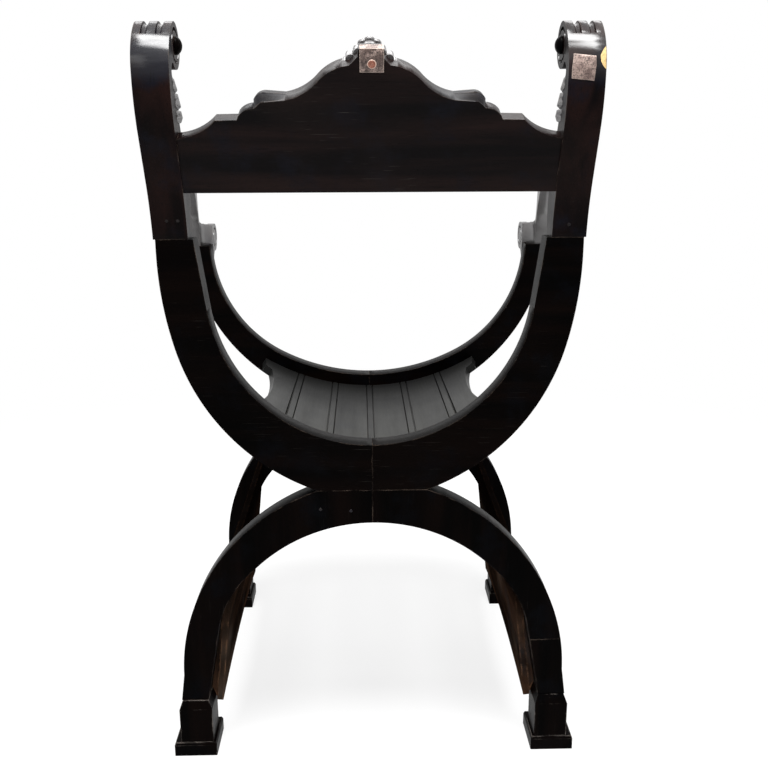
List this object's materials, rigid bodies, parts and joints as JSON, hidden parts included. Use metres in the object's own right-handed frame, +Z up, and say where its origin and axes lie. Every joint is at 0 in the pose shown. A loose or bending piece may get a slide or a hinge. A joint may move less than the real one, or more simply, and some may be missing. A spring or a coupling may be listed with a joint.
{
  "type": "savonarola chair",
  "caption": "Black stained wooden armchair on curved crossed frames, with a dished slatted seat, scrolled posts and arms and a shaped crest rail.",
  "frame": {"origin": "on the floor, in the middle of the chair's footprint", "axes": "+Z up, the chair faces -Y, +X towards the sitter's left"},
  "size_m": [0.6378, 0.5956, 0.9514],
  "materials": {
    "black_wood": "ebonised, worn satin",
    "brown_wood": "dark brown stain, dull",
    "dowel_wood": "unfinished",
    "copper": "tarnished copper sheet"
  },
  "bodies": {
    "root": {"arch_seam_dowels": "dowel_wood", "arm_bosses_left": "black_wood", "arm_bosses_right": "black_wood", "arm_heel_dowels": "dowel_wood", "arm_left": "black_wood", "arm_rest_dowels": "dowel_wood", "arm_right": "black_wood", "bow_seam_dowels": "dowel_wood", "crest_plate": "copper", "crest_plate_rivet": "copper", "crest_rail": "black_wood", "crest_shell": "black_wood", "foot_dowels": "dowel_wood", "front_arch_left": "black_wood", "front_arch_right": "black_wood", "front_bow_left": "black_wood", "front_bow_right": "black_wood", "front_foot_left": "black_wood", "front_foot_right": "black_wood", "front_hub_dowels": "dowel_wood", "front_plinth_left": "black_wood", "front_plinth_right": "black_wood", "front_seat_bearer": "brown_wood", "post_bosses_left": "black_wood", "post_bosses_right": "black_wood", "post_dowels": "dowel_wood", "post_plate": "copper", "rear_arch_left": "black_wood", "rear_arch_right": "black_wood", "rear_bow_left": "black_wood", "rear_bow_right": "black_wood", "rear_foot_left": "black_wood", "rear_foot_right": "black_wood", "rear_hub_dowels": "dowel_wood", "rear_leg_splice_right": "black_wood", "rear_plinth_left": "black_wood", "rear_plinth_right": "black_wood", "rear_post_left": "black_wood", "rear_post_right": "black_wood", "rear_seat_bearer": "brown_wood", "seat_board_1": "black_wood", "seat_board_2": "black_wood", "seat_board_3": "black_wood", "seat_board_4": "black_wood", "seat_board_5": "black_wood", "seat_board_6": "black_wood", "seat_strip_1": "black_wood", "seat_strip_2": "black_wood", "seat_strip_3": "black_wood", "seat_strip_4": "black_wood", "seat_strip_5": "black_wood", "side_board_left": "brown_wood", "side_board_right": "brown_wood", "splice_dowel": "dowel_wood"}
  },
  "joints": []
}
